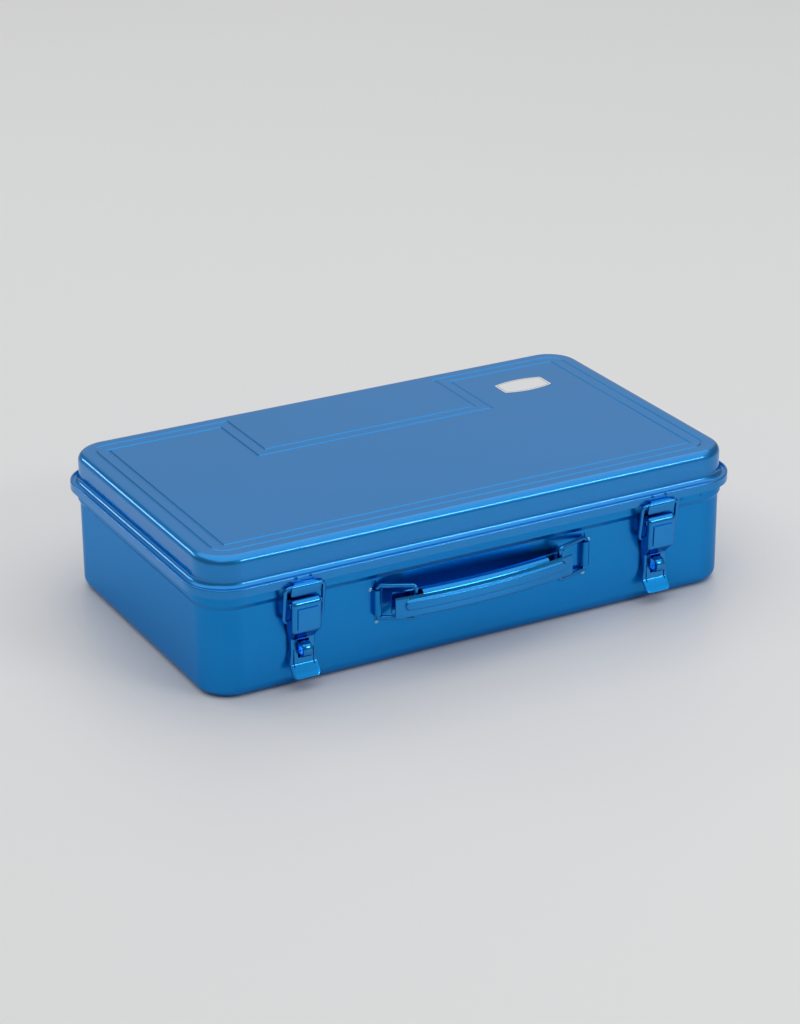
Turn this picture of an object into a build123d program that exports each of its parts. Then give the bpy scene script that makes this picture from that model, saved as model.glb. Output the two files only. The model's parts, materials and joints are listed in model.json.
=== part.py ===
"""Flat steel tool box with a hinged lid, two draw latches and a folding wire handle.

Millimetres. The origin is the centre of the base, +X runs along the length, the front with the
latches and the handle faces -Y, and +Z is up. Every sub-part is written to its own STEP file.
"""
from build123d import *
from math import asin, atan, cos, degrees, radians, sin, sqrt
import os

# ---- sheet and case ---------------------------------------------------------------------------
SHEET = 0.8                 # steel sheet of the body and the lid
BODY_LENGTH = 352.8         # outside of the body wall, along X
BODY_DEPTH = 201.4          # outside of the body wall, along Y
BODY_CORNER = 21.0          # upright corner radius of the body
BODY_EDGE = 7.0             # radius where the wall turns into the base
SHOULDER_Z = 56.3           # height of the step below the body's upper band
BAND_STEP = 1.4             # how far the upper band stands out of the wall
SHOULDER_RISE = 2.8         # height over which the wall leans out to the band
HEIGHT = 88.5               # overall height, lid closed
LID_STEP = 0.2              # how far the lid wall stands out of the body wall
LID_EDGE = 5.0              # radius along the lid's top edge
RIM_REACH = 5.6             # how far the lid's rim stands out of the body wall
RIM_TOP_Z = 71.2            # top of the bead on the rim
RIM_DROP = 5.4              # height of the rim
HEM = 1.6                   # doubled sheet of the rim and of the body's lip
BEAD_RISE = 0.8             # bead above the lid's flange
BEAD_WIDTH = 1.5            # width of the bead on the rim
BEAD_OUTER = 0.9            # radius outside the bead
BEAD_INNER = 0.5            # radius inside the bead
FOOT_RADIUS = 3.6           # radius where the lid wall turns into its flange
SEAT_GAP = 0.3              # lid's flange above the body's lip, lid closed
LIP_CLEARANCE = 0.9         # body's lip inside the lid's rim, so that the rim swings past it
PIMPLE_RADIUS = 1.3         # two small pressed bumps on the band, right of the right latch
PIMPLE_RISE = 0.5
PIMPLE_Z = 62.0
PIMPLE_OFFSETS = (19.5, 33.9)

# ---- pressed lines on the lid ----------------------------------------------------------------
LINE_INSET_X = 19.3         # inner line inside the lid's ends
LINE_INSET_Y = 19.1         # inner line inside the lid's front and back
LINE_SPACING = 7.8          # outer line outside the inner one
LINE_WIDTH = 2.2            # groove across
LINE_DEPTH = 0.45           # groove down
LINE_SLOPE = 60.0           # lean of the groove's sides from upright, in degrees
LINE_CORNER = 9.0           # outer line's corner radius
CARTOUCHE_HALF = 81.7       # inner line's step round the bare field at the back
CARTOUCHE_FRONT = 28.3      # front of that step, along Y

# ---- label -----------------------------------------------------------------------------------
LABEL_LENGTH = 34.0
LABEL_WIDTH = 15.0
LABEL_BULGE = 2.2           # bulge of its long sides
LABEL_THICK = 0.2
LABEL_INSET_X = 57.2        # label's middle inside the lid's right end
LABEL_INSET_Y = 47.7        # label's middle inside the lid's back

# ---- rear hinges -----------------------------------------------------------------------------
HINGE_INSET = 71.4          # middle of each hinge inside the body's end
HINGE_WIDTH = 36.0
HINGE_SHEET = 1.0
KNUCKLE_RADIUS = 3.0
KNUCKLE_GAP = 0.5           # between neighbouring knuckles
LID_KNUCKLE = 12.5          # length of the lid's middle knuckle
HINGE_PIN_RADIUS = 1.5
PIN_CLEARANCE = 0.05        # radial, in every bore with a pin
PIN_HEAD_RISE = 0.7         # head radius beyond the pin
PIN_HEAD_THICK = 0.8
HINGE_AXIS_Z = 68.0
HINGE_RIM_GAP = 0.4         # knuckles behind the rim
BODY_LEAF_LENGTH = 20.0     # leaf on the back wall
BODY_LEAF_BEND = 2.0        # leaf's bend below the body's shoulder
BEND_EASE = 0.5             # half height of that bend
KNUCKLE_POST = 3.5          # upright strip below each outer knuckle
LID_LEAF_LENGTH = 10.0      # leaf on the lid's back wall
LID_LEAF_GAP = 1.0          # leaf above the lid's foot radius
STRAP_RISE = 1.5            # crown of the strap over the rim, above the knuckle
STRAP_GAP = 0.7             # strap above the rim's bead

# ---- latches ---------------------------------------------------------------------------------
LATCH_INSET = 56.8          # middle of each latch inside the body's end
LEVER_SHEET = 1.0
LEVER_WIDTH = 18.8
NECK_WIDTH = 15.6
TAB_WIDTH = 17.8
TAB_CORNER = 3.0
LEVER_STAND = 11.0          # front of the lever's pad from the body wall
NECK_STAND = 4.0            # front of the neck from the body wall
TAB_STAND = 9.6             # tip of the pull tab from the body wall
FLANGE_STAND = 2.0          # back edge of the lever's side flanges
FLANGE_FOOT_DROP = 34.0     # where the flanges start to taper, below the pin
NECK_FLARE = 5.0            # height over which the neck widens to the tab
PIN_Z = 54.6
PIN_STAND = 6.8
PIN_RADIUS = 1.25
CROWN_RADIUS = 4.2          # lever's top, round the pin
CROWN_BACK = 0.7            # back edge of the lever's top behind the pin
PAD_FOOT_DROP = 16.2        # lower end of the pad below the pin
PAD_LEAN = 0.9              # pad's lower end nearer the wall than its top
NECK_TOP_DROP = 22.8        # upper end of the neck below the pin
NECK_FOOT_DROP = 38.6       # lower end of the neck below the pin
TAB_DROP = 45.8             # tip of the tab below the pin
PANEL_WIDTH = 13.5
PANEL_HEIGHT = 14.0
PANEL_RISE = 0.5
PANEL_TAPER = 40.0          # slope of the panel's edges, in degrees
PANEL_TOP_DROP = 0.7
CREASE_WIDTH = 0.8          # slits beside the staple slot
CREASE_LENGTH = 11.0
CREASE_X = 6.3
CREASE_FOOT_DROP = 40.3     # lower end of the slits below the pin
LEVER_SIDE_GAP = 0.3        # base plate's ears inside the lever's flanges
BASE_THICK = 1.0
BASE_FOOT_Z = 13.0
BASE_TOP_Z = 55.0
BASE_FOOT_WIDTH = 12.0
EAR_RADIUS = 3.0
EAR_FOOT_DROP = 12.0        # lower end of the ears below the pin
EAR_TOP_DROP = 4.2          # top of the ears at the wall below the pin, clear of the turning crown
STAPLE_WIDTH = 5.7
STAPLE_THICK = 1.5
STAPLE_BORE = 3.2           # radius inside the bow
STAPLE_STAND = 5.7          # centre of the bow from the body wall
STAPLE_DROP = 29.2          # below the pin
SLOT_SIDE_GAP = 0.8
SLOT_END_GAP = 1.2
BAIL_WIRE_RADIUS = 1.25
BAIL_HALF = 12.2            # bail's legs from the latch's middle
BAIL_BEND = 2.6
BAIL_STAND = 4.2            # bail's pivot from the body wall
BAIL_DROP = 10.9            # bail's pivot below the pin
BAIL_BAR_STAND = 7.4        # bail's top bar from the body wall
BAIL_BAR_RISE = 11.2        # bail's top bar above the pin
HOOK_SHEET = 0.9
HOOK_WIDTH = 18.4
HOOK_TONGUE = 5.6           # tongue below the top bar
HOOK_RIM_GAP = 0.3          # hook in front of the lid's rim
NOTCH_HALF_SPACING = 4.6
NOTCH_RADIUS = 0.9

# ---- handle ----------------------------------------------------------------------------------
HANDLE_Z = 41.9
BRIDGE_X = 70.2
BRIDGE_HEIGHT = 15.6
LINK_WIRE_RADIUS = 1.4
LINK_STAND = 1.6            # link's upright leg from the body wall
LINK_CLEARANCE = 0.6        # radial, inside the bridge
LINK_REACH = 22.4           # between the link's two upright legs
LINK_ANGLES = {-1: 29.0, 1: 17.0}   # left and right link from the wall, at rest, in degrees
LINK_HALF_HEIGHT = 10.2
LINK_BEND = 2.2
LINK_SEAM = 0.6             # between the wire's two ends, inside the grip
GROOVE_REACH = 5.2          # wire's groove in the wall beyond each end of the bridge
LANCE_WIDTH = 3.0           # opening in the wall behind the bridge
GRIP_LENGTH = 121.0
GRIP_SHIFT = -4.4           # the loose grip rests a little to the left
GRIP_HEIGHT = 16.4
GRIP_SEAT = 0.3             # grip above the lower wires of the two links
GRIP_THICK = 7.6
GRIP_CORNER = 2.4
GRIP_SHEET = 0.9
GRIP_BOW = 5.0              # middle of the grip beyond its ends
GRIP_MIDDLE = 86.0          # closed middle of the grip; its top and bottom are open beyond it
GRIP_CHAMFER = 2.0
RIB_LENGTH = 110.0
RIB_WIDTH = 6.8
RIB_RISE = 1.6
RIB_LIFT = 0.8              # rib's middle line above the grip's

# ---- worked out from the sizes above ---------------------------------------------------------
WALL_Y = BODY_DEPTH / 2
LATCH_X = BODY_LENGTH / 2 - LATCH_INSET
HINGE_X = BODY_LENGTH / 2 - HINGE_INSET
LID_HALF_LENGTH = BODY_LENGTH / 2 + LID_STEP
LID_HALF_DEPTH = BODY_DEPTH / 2 + LID_STEP
LINE_HALF_LENGTH = LID_HALF_LENGTH - LINE_INSET_X
LINE_HALF_DEPTH = LID_HALF_DEPTH - LINE_INSET_Y
RIM_LENGTH = BODY_LENGTH + 2 * RIM_REACH
RIM_DEPTH = BODY_DEPTH + 2 * RIM_REACH
RIM_CORNER = BODY_CORNER + RIM_REACH
RIM_FOOT_Z = RIM_TOP_Z - RIM_DROP
FLANGE_TOP_Z = RIM_TOP_Z - BEAD_RISE
LIP_TOP_Z = FLANGE_TOP_Z - SHEET - SEAT_GAP
LIP_REACH = RIM_REACH - HEM - LIP_CLEARANCE
HINGE_AXIS_Y = WALL_Y + RIM_REACH + HINGE_RIM_GAP + KNUCKLE_RADIUS
GRIP_Z = HANDLE_Z - LINK_HALF_HEIGHT + LINK_WIRE_RADIUS + GRIP_SEAT + GRIP_HEIGHT / 2
TINY = 0.01


def block(length, depth, corner, z_low, z_high):
    """Upright block with rounded corners, centred on the Z axis."""
    return Pos(0, 0, z_low) * extrude(RectangleRounded(length, depth, corner), amount=z_high - z_low)


def around_body(offset, z_low, z_high):
    """Block with the body's outline, moved outward by offset."""
    return block(BODY_LENGTH + 2 * offset, BODY_DEPTH + 2 * offset, BODY_CORNER + offset, z_low, z_high)


def edges_at(solid, z):
    """Edges that lie in the level plane at height z."""
    return solid.edges().filter_by_position(Axis.Z, z - TINY, z + TINY)


def edge_loop(solid, z, half_length):
    """Edges in the level plane at z that belong to the outline with this half length."""
    return [e for e in edges_at(solid, z) if on_outline(e, half_length)]


def on_outline(edge, half_length):
    """True if the edge lies on the rounded outline that reaches half_length along X."""
    offset = half_length - BODY_LENGTH / 2
    point = edge.position_at(0.5)
    inner_x = BODY_LENGTH / 2 - BODY_CORNER
    inner_y = BODY_DEPTH / 2 - BODY_CORNER
    over_x = max(abs(point.X) - inner_x, 0)
    over_y = max(abs(point.Y) - inner_y, 0)
    return abs(sqrt(over_x ** 2 + over_y ** 2) - BODY_CORNER - offset) < 10 * TINY


def upright_tube(radius, x, y, z_low, z_high):
    """Upright cylinder."""
    return Pos(x, y, z_low) * extrude(Circle(radius), amount=z_high - z_low)


def along_x(radius, x_low, x_high, y, z):
    """Cylinder that runs along X."""
    disc = Plane(origin=(x_low, y, z), x_dir=(0, 1, 0), z_dir=(1, 0, 0)) * Circle(radius)
    return extrude(disc, amount=x_high - x_low)


def side_plate(points, x_low, x_high):
    """Plate across X whose outline is a list of (y, z) points."""
    face = make_face(Polyline(*[(0, y, z) for y, z in points], close=True))
    return Pos(x_low, 0, 0) * extrude(face, amount=x_high - x_low, dir=(1, 0, 0))


def front_plate(points, x_low, x_high):
    """Side plate whose points are (distance out of the front wall, height)."""
    return side_plate([(-WALL_Y - stand, z) for stand, z in points], x_low, x_high)


def back_plate(points, x_low, x_high):
    """Side plate whose points are (distance out of the back wall, height)."""
    return side_plate([(WALL_Y + stand, z) for stand, z in points], x_low, x_high)


# ---- body ------------------------------------------------------------------------------------
def handle_seat(x):
    """Metal and room of one handle bridge: what to add to the body, then what to cut from it."""
    bore = LINK_WIRE_RADIUS + LINK_CLEARANCE
    y = -WALL_Y - LINK_STAND
    low, high = HANDLE_Z - BRIDGE_HEIGHT / 2, HANDLE_Z + BRIDGE_HEIGHT / 2
    arch = upright_tube(bore + SHEET, x, y, low, high)
    cheeks = Pos(x, (y - WALL_Y) / 2, HANDLE_Z) * Box(2 * (bore + SHEET), LINK_STAND, BRIDGE_HEIGHT)
    foot, head = low - GROOVE_REACH, high + GROOVE_REACH
    pocket = upright_tube(bore + SHEET, x, y, foot, head)
    pocket += Pos(x, y, foot) * Sphere(bore + SHEET)
    inside = Pos(x, -WALL_Y + BODY_CORNER / 2, HANDLE_Z) * Box(4 * bore, BODY_CORNER, HEIGHT)
    pocket = pocket & inside
    groove = upright_tube(bore, x, y, foot, head) + Pos(x, y, foot) * Sphere(bore)
    lance = Pos(x, -WALL_Y, HANDLE_Z) * Box(LANCE_WIDTH, 4 * bore, BRIDGE_HEIGHT - 2 * SHEET)
    lance = lance & (Pos(x, -WALL_Y + 2 * bore, HANDLE_Z) * Box(4 * bore, 4 * bore, HEIGHT))
    return arch + cheeks + pocket, groove + lance


def body_shell():
    """Deep-drawn body: base, wall, pressed shoulder, upper band, outward lip, handle bridges."""
    wall = around_body(0, 0, SHOULDER_Z)
    wall = fillet(edges_at(wall, 0), BODY_EDGE)
    slope = Pos(0, 0, SHOULDER_Z) * extrude(
        RectangleRounded(BODY_LENGTH, BODY_DEPTH, BODY_CORNER), amount=SHOULDER_RISE,
        taper=-degrees(atan(BAND_STEP / SHOULDER_RISE)))
    band = around_body(BAND_STEP, SHOULDER_Z + SHOULDER_RISE, LIP_TOP_Z - HEM / 2)
    lip = around_body(LIP_REACH, LIP_TOP_Z - HEM, LIP_TOP_Z)
    lip = fillet(edges_at(lip, LIP_TOP_Z - HEM) + edges_at(lip, LIP_TOP_Z), HEM / 2 - 10 * TINY)
    room = around_body(-SHEET, SHEET, HEIGHT)
    room = fillet(edges_at(room, SHEET), BODY_EDGE - SHEET)
    upper_room = around_body(BAND_STEP - SHEET, SHOULDER_Z + SHOULDER_RISE, HEIGHT)
    shell = wall + slope + band + lip - room - upper_room
    for side in (-1, 1):
        metal, space = handle_seat(side * BRIDGE_X)
        shell = shell + metal - space
    ball = (PIMPLE_RADIUS ** 2 + PIMPLE_RISE ** 2) / (2 * PIMPLE_RISE)
    middle = -WALL_Y - BAND_STEP - PIMPLE_RISE + ball
    outside = Pos(LATCH_X, -WALL_Y - BAND_STEP + SHEET / 2 - BODY_CORNER / 2, PIMPLE_Z)
    outside = outside * Box(BODY_LENGTH, BODY_CORNER, HEIGHT)
    for offset in PIMPLE_OFFSETS:
        shell += (Pos(LATCH_X + offset, middle, PIMPLE_Z) * Sphere(ball)) & outside
    return shell


# ---- lid -------------------------------------------------------------------------------------
def line_outline(spacing, corner):
    """Closed outline of one pressed line; spacing moves it outward from the inner line."""
    half_x, half_y = LINE_HALF_LENGTH + spacing, LINE_HALF_DEPTH + spacing
    step_x, step_y = CARTOUCHE_HALF - spacing, CARTOUCHE_FRONT + spacing
    if corner > 0:
        sheet = RectangleRounded(2 * half_x, 2 * half_y, corner)
    else:
        sheet = Rectangle(2 * half_x, 2 * half_y)
    return sheet - Pos(0, step_y + half_y) * Rectangle(2 * step_x, 2 * half_y)


def line_band(spacing, corner, width):
    """Flat band of the given width that follows one pressed line."""
    outer = line_outline(spacing + width / 2, corner + width / 2 if corner else 0)
    inner = line_outline(spacing - width / 2, corner - width / 2 if corner else 0)
    return outer - inner


def pressed_lines(width, depth, top_z, lean=0):
    """Solid bands of both pressed lines, hanging down from top_z, with sides that lean in by lean degrees."""
    lines = None
    for spacing, corner in ((0, 0), (LINE_SPACING, LINE_CORNER)):
        band = Pos(0, 0, top_z) * extrude(line_band(spacing, corner, width), amount=-depth, taper=lean)
        lines = band if lines is None else lines + band
    return lines


def lid_shell():
    """Deep-drawn lid: top with pressed lines, wall, flange, beaded rim with the latch notches."""
    box = around_body(LID_STEP, FLANGE_TOP_Z - SHEET, HEIGHT)
    box = fillet(edges_at(box, HEIGHT), LID_EDGE)
    flange = around_body(RIM_REACH, RIM_FOOT_Z, FLANGE_TOP_Z)
    bead = around_body(RIM_REACH, RIM_FOOT_Z, RIM_TOP_Z)
    bead -= around_body(RIM_REACH - BEAD_WIDTH, RIM_FOOT_Z, RIM_TOP_Z)
    outside = box + flange
    outside = fillet(edge_loop(outside, FLANGE_TOP_Z, BODY_LENGTH / 2 + LID_STEP), FOOT_RADIUS)
    bead = fillet(edge_loop(bead, RIM_TOP_Z, RIM_LENGTH / 2), BEAD_OUTER)
    bead = fillet(edge_loop(bead, RIM_TOP_Z, RIM_LENGTH / 2 - BEAD_WIDTH), BEAD_INNER)
    outer_ring = around_body(RIM_REACH + 1, RIM_FOOT_Z - 1, FLANGE_TOP_Z)
    outer_ring -= around_body(RIM_REACH - BEAD_WIDTH, RIM_FOOT_Z - 1, FLANGE_TOP_Z)
    outside = outside - outer_ring + bead
    room = around_body(LID_STEP - SHEET, RIM_FOOT_Z - 1, HEIGHT - SHEET)
    room = fillet(edges_at(room, HEIGHT - SHEET), LID_EDGE - SHEET)
    rim_room = around_body(RIM_REACH - HEM, RIM_FOOT_Z - 1, FLANGE_TOP_Z - SHEET)
    backing = pressed_lines(LINE_WIDTH + 2 * SHEET, LINE_DEPTH, HEIGHT - SHEET)
    shell = outside - (room - backing) - rim_room
    shell -= pressed_lines(LINE_WIDTH, LINE_DEPTH, HEIGHT, LINE_SLOPE)
    for side in (-1, 1):
        for notch in (-1, 1):
            x = side * LATCH_X + notch * NOTCH_HALF_SPACING
            shell -= upright_tube(NOTCH_RADIUS, x, -WALL_Y - RIM_REACH, FLANGE_TOP_Z - BEAD_RISE, HEIGHT)
    return shell


def lid_label():
    """Blank sticker with bulging long sides, on the lid's top."""
    half_x, half_y = LABEL_LENGTH / 2, LABEL_WIDTH / 2
    top = ThreePointArc((-half_x, half_y), (0, half_y + LABEL_BULGE), (half_x, half_y))
    right = Line((half_x, half_y), (half_x, -half_y))
    bottom = ThreePointArc((half_x, -half_y), (0, -half_y - LABEL_BULGE), (-half_x, -half_y))
    left = Line((-half_x, -half_y), (-half_x, half_y))
    face = make_face(Curve() + [top, right, bottom, left])
    place = Pos(LID_HALF_LENGTH - LABEL_INSET_X, LID_HALF_DEPTH - LABEL_INSET_Y, HEIGHT)
    return place * extrude(face, amount=LABEL_THICK)


# ---- rear hinges -----------------------------------------------------------------------------
def hinge_bore(x_low, x_high):
    """Room for the hinge pin."""
    return along_x(HINGE_PIN_RADIUS + PIN_CLEARANCE, x_low - 1, x_high + 1, HINGE_AXIS_Y, HINGE_AXIS_Z)


def hinge_body_leaf(x):
    """Leaf on the back wall, bent out under the rim to the two outer knuckles."""
    axis = HINGE_AXIS_Y - WALL_Y
    half, inner, half_sheet = HINGE_WIDTH / 2, LID_KNUCKLE / 2 + KNUCKLE_GAP, HINGE_SHEET / 2
    bend_z = SHOULDER_Z - BODY_LEAF_BEND
    rise_z = HINGE_AXIS_Z - KNUCKLE_RADIUS - KNUCKLE_POST
    foot_z = bend_z - BODY_LEAF_LENGTH
    leaf = back_plate([
        (0, foot_z), (HINGE_SHEET, foot_z), (HINGE_SHEET, bend_z - BEND_EASE), (axis + half_sheet, rise_z),
        (axis + half_sheet, rise_z + HINGE_SHEET), (axis - half_sheet, rise_z + HINGE_SHEET),
        (0, bend_z + BEND_EASE)], x - half, x + half)
    for low, high in ((-half, -inner), (inner, half)):
        post = Pos(x + (low + high) / 2, HINGE_AXIS_Y, (rise_z + HINGE_AXIS_Z) / 2)
        leaf += post * Box(high - low, HINGE_SHEET, HINGE_AXIS_Z - rise_z)
        leaf += along_x(KNUCKLE_RADIUS, x + low, x + high, HINGE_AXIS_Y, HINGE_AXIS_Z)
    return leaf - hinge_bore(x - half, x + half)


def hinge_lid_leaf(x):
    """Leaf on the lid's back wall, with a strap over the rim to the middle knuckle."""
    axis = HINGE_AXIS_Y - WALL_Y
    half, mid = HINGE_WIDTH / 2, LID_KNUCKLE / 2
    foot_z = FLANGE_TOP_Z + FOOT_RADIUS + LID_LEAF_GAP
    front, back = LID_STEP, LID_STEP + HINGE_SHEET
    leaf = back_plate([(front, foot_z), (back, foot_z), (back, foot_z + LID_LEAF_LENGTH),
                       (front, foot_z + LID_LEAF_LENGTH)], x - half, x + half)
    crown_z = HINGE_AXIS_Z + KNUCKLE_RADIUS
    leaf += back_plate([
        (front, foot_z), (RIM_REACH, RIM_TOP_Z + STRAP_GAP), (axis - HINGE_SHEET, crown_z - HINGE_SHEET),
        (axis, crown_z - HINGE_SHEET / 2), (axis, crown_z), (RIM_REACH + HINGE_SHEET, crown_z + STRAP_RISE),
        (back, foot_z + STRAP_RISE)], x - mid, x + mid)
    leaf += along_x(KNUCKLE_RADIUS, x - mid, x + mid, HINGE_AXIS_Y, HINGE_AXIS_Z)
    return leaf - hinge_bore(x - half, x + half)


def headed_pin(radius, x_low, x_high, y, z):
    """Pin along X with a round head at each end."""
    pin = along_x(radius, x_low, x_high, y, z)
    pin += along_x(radius + PIN_HEAD_RISE, x_low - PIN_HEAD_THICK, x_low, y, z)
    pin += along_x(radius + PIN_HEAD_RISE, x_high, x_high + PIN_HEAD_THICK, y, z)
    return pin


def hinge_pin(x):
    """Pin of one rear hinge."""
    half = HINGE_WIDTH / 2 + PIN_CLEARANCE
    return headed_pin(HINGE_PIN_RADIUS, x - half, x + half, HINGE_AXIS_Y, HINGE_AXIS_Z)


# ---- latches ---------------------------------------------------------------------------------
def latch_base(x):
    """Base plate on the front wall, with two ears for the lever's pin."""
    half, foot = LEVER_WIDTH / 2 - LEVER_SHEET - LEVER_SIDE_GAP, BASE_FOOT_WIDTH / 2
    neck_z = PIN_Z - EAR_FOOT_DROP
    right = [(foot, BASE_FOOT_Z), (half, neck_z), (half, BASE_TOP_Z)]
    outline = right + [(-px, pz) for px, pz in reversed(right)]
    face = make_face(Polyline(*[(x + px, -WALL_Y, pz) for px, pz in outline], close=True))
    base = extrude(face, amount=BASE_THICK, dir=(0, -1, 0))
    for side in (-1, 1):
        low, high = sorted((x + side * half, x + side * (half - BASE_THICK)))
        base += front_plate([
            (0, neck_z), (BASE_THICK, neck_z), (PIN_STAND + EAR_RADIUS, PIN_Z), (PIN_STAND, PIN_Z),
            (0, PIN_Z - EAR_TOP_DROP)], low, high)
        base += along_x(EAR_RADIUS, low, high, -WALL_Y - PIN_STAND, PIN_Z)
    return base - along_x(PIN_RADIUS + PIN_CLEARANCE, x - half, x + half, -WALL_Y - PIN_STAND, PIN_Z)


def latch_staple(x):
    """Bent strip on the base plate that takes a padlock."""
    z = PIN_Z - STAPLE_DROP
    y = -WALL_Y - STAPLE_STAND
    outer = STAPLE_BORE + STAPLE_THICK
    legs_y = (-WALL_Y - BASE_THICK + y) / 2
    leg_depth = STAPLE_STAND - BASE_THICK
    left, right = x - STAPLE_WIDTH / 2, x + STAPLE_WIDTH / 2
    bow = along_x(outer, left, right, y, z) + Pos(x, legs_y, z) * Box(STAPLE_WIDTH, leg_depth, 2 * outer)
    room = along_x(STAPLE_BORE, left - 1, right + 1, y, z)
    room += Pos(x, legs_y, z) * Box(STAPLE_WIDTH + 2, leg_depth + TINY, 2 * STAPLE_BORE)
    return bow - room


def lever_front():
    """(stand, z) points of the lever's front, from the crown down to the tip of the tab."""
    return [(LEVER_STAND, PIN_Z), (LEVER_STAND - PAD_LEAN, PIN_Z - PAD_FOOT_DROP),
            (NECK_STAND, PIN_Z - NECK_TOP_DROP), (NECK_STAND, PIN_Z - NECK_FOOT_DROP),
            (TAB_STAND, PIN_Z - TAB_DROP)]


def lever_outline(x, inset):
    """Front view of the lever as a block, moved inward by inset."""
    wide, neck, tab = LEVER_WIDTH / 2 - inset, NECK_WIDTH / 2 - inset, TAB_WIDTH / 2 - inset
    foot, neck_foot = PIN_Z - TAB_DROP + inset, PIN_Z - NECK_FOOT_DROP
    right = [(tab, foot), (tab, neck_foot), (neck, neck_foot + NECK_FLARE), (neck, PIN_Z - NECK_TOP_DROP),
             (wide, PIN_Z - PAD_FOOT_DROP), (wide, PIN_Z + 2 * CROWN_RADIUS)]
    outline = right + [(-px, pz) for px, pz in reversed(right)]
    face = make_face(Polyline(*[(x + px, -WALL_Y, pz) for px, pz in outline], close=True))
    solid = extrude(face, amount=2 * LEVER_STAND, dir=(0, -1, 0))
    low = [e for e in solid.edges().filter_by(Axis.Y) if e.center().Z < foot + TINY]
    return fillet(low, TAB_CORNER - inset)


def lever_panel(x):
    """Raised panel on the lever's pad."""
    drop = PANEL_TOP_DROP + PANEL_HEIGHT / 2
    stand = LEVER_STAND - PAD_LEAN * drop / PAD_FOOT_DROP
    plane = Plane(origin=(x, -WALL_Y - stand, PIN_Z - drop), x_dir=(1, 0, 0), z_dir=(0, -PAD_FOOT_DROP, -PAD_LEAN))
    return extrude(plane * Rectangle(PANEL_WIDTH, PANEL_HEIGHT), amount=PANEL_RISE, taper=PANEL_TAPER)


def latch_lever(x):
    """Pressed lever: crowned top, raised pad, side flanges, neck with the staple slot, pull tab."""
    y, half = -WALL_Y - PIN_STAND, LEVER_WIDTH
    inner = CROWN_RADIUS - LEVER_SHEET
    neck_foot, neck_back = PIN_Z - NECK_FOOT_DROP, NECK_STAND - LEVER_SHEET
    front = lever_front()
    back = [(TAB_STAND - LEVER_SHEET, PIN_Z - TAB_DROP), (neck_back, neck_foot),
            (FLANGE_STAND, PIN_Z - FLANGE_FOOT_DROP), (FLANGE_STAND, PIN_Z)]
    solid = front_plate(front + back, x - half, x + half)
    above = front_plate([(FLANGE_STAND, PIN_Z), (LEVER_STAND, PIN_Z), (LEVER_STAND, HEIGHT), (FLANGE_STAND, HEIGHT)],
                        x - half, x + half)
    solid += along_x(CROWN_RADIUS, x - half, x + half, y, PIN_Z) & above
    solid = solid & lever_outline(x, 0)
    room = front_plate([(stand - LEVER_SHEET, z) for stand, z in front[:4]] + [(0, neck_foot), (0, PIN_Z)],
                       x - half, x + half)
    room += along_x(inner, x - half, x + half, y, PIN_Z)
    crown_back = PIN_STAND - CROWN_BACK
    room += front_plate([(0, PIN_Z), (crown_back, PIN_Z), (crown_back, HEIGHT), (0, HEIGHT)], x - half, x + half)
    lever = solid - (room & lever_outline(x, LEVER_SHEET)) + lever_panel(x)
    staple_half = STAPLE_BORE + STAPLE_THICK + SLOT_END_GAP
    slot = Pos(x, -WALL_Y - NECK_STAND, PIN_Z - STAPLE_DROP)
    lever -= slot * Box(STAPLE_WIDTH + 2 * SLOT_SIDE_GAP, 2 * NECK_STAND, 2 * staple_half)
    for side in (-1, 1):
        crease = Pos(x + side * CREASE_X, -WALL_Y - NECK_STAND, PIN_Z - CREASE_FOOT_DROP + CREASE_LENGTH / 2)
        lever -= crease * Box(CREASE_WIDTH, 2 * NECK_STAND, CREASE_LENGTH)
    lever -= along_x(PIN_RADIUS + PIN_CLEARANCE, x - half, x + half, y, PIN_Z)
    pivot_y, pivot_z = -WALL_Y - BAIL_STAND, PIN_Z - BAIL_DROP
    return lever - along_x(BAIL_WIRE_RADIUS + PIN_CLEARANCE, x - half, x + half, pivot_y, pivot_z)


def latch_pin(x):
    """Pin through the lever's flanges and the base plate's ears."""
    half = LEVER_WIDTH / 2 + PIN_CLEARANCE
    return headed_pin(PIN_RADIUS, x - half, x + half, -WALL_Y - PIN_STAND, PIN_Z)


def latch_bail(x):
    """Wire bail from the lever's flanges up to the hook."""
    low = (-WALL_Y - BAIL_STAND, PIN_Z - BAIL_DROP)
    high = (-WALL_Y - BAIL_BAR_STAND, PIN_Z + BAIL_BAR_RISE)
    end = LEVER_WIDTH / 2 - LEVER_SHEET + PIN_CLEARANCE
    path = FilletPolyline((x - end, *low), (x - BAIL_HALF, *low), (x - BAIL_HALF, *high),
                          (x + BAIL_HALF, *high), (x + BAIL_HALF, *low), (x + end, *low), radius=BAIL_BEND)
    start = Plane(origin=path @ 0, z_dir=path % 0)
    return sweep(start * Circle(BAIL_WIRE_RADIUS), path=path)


def latch_hook(x):
    """Hook plate crimped round the bail's top bar, with a tongue below it and a nose at the rim."""
    z = PIN_Z + BAIL_BAR_RISE
    left, right = x - HOOK_WIDTH / 2, x + HOOK_WIDTH / 2
    inner = BAIL_WIRE_RADIUS + PIN_CLEARANCE
    outer = inner + HOOK_SHEET
    front, back = BAIL_BAR_STAND + outer, RIM_REACH + HOOK_RIM_GAP
    curl = along_x(outer, left, right, -WALL_Y - BAIL_BAR_STAND, z)
    tongue = front_plate([(front - HOOK_SHEET, z), (front, z), (front, z - HOOK_TONGUE),
                          (front - HOOK_SHEET, z - HOOK_TONGUE)], left, right)
    nose = front_plate([(back, z + outer), (BAIL_BAR_STAND, z + outer), (BAIL_BAR_STAND, z + inner),
                        (back, z + inner)], left, right)
    behind = front_plate([(0, z - 2 * outer), (back, z - 2 * outer), (back, HEIGHT), (0, HEIGHT)], left, right)
    return curl + tongue + nose - behind - along_x(inner, left, right, -WALL_Y - BAIL_BAR_STAND, z)


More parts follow.
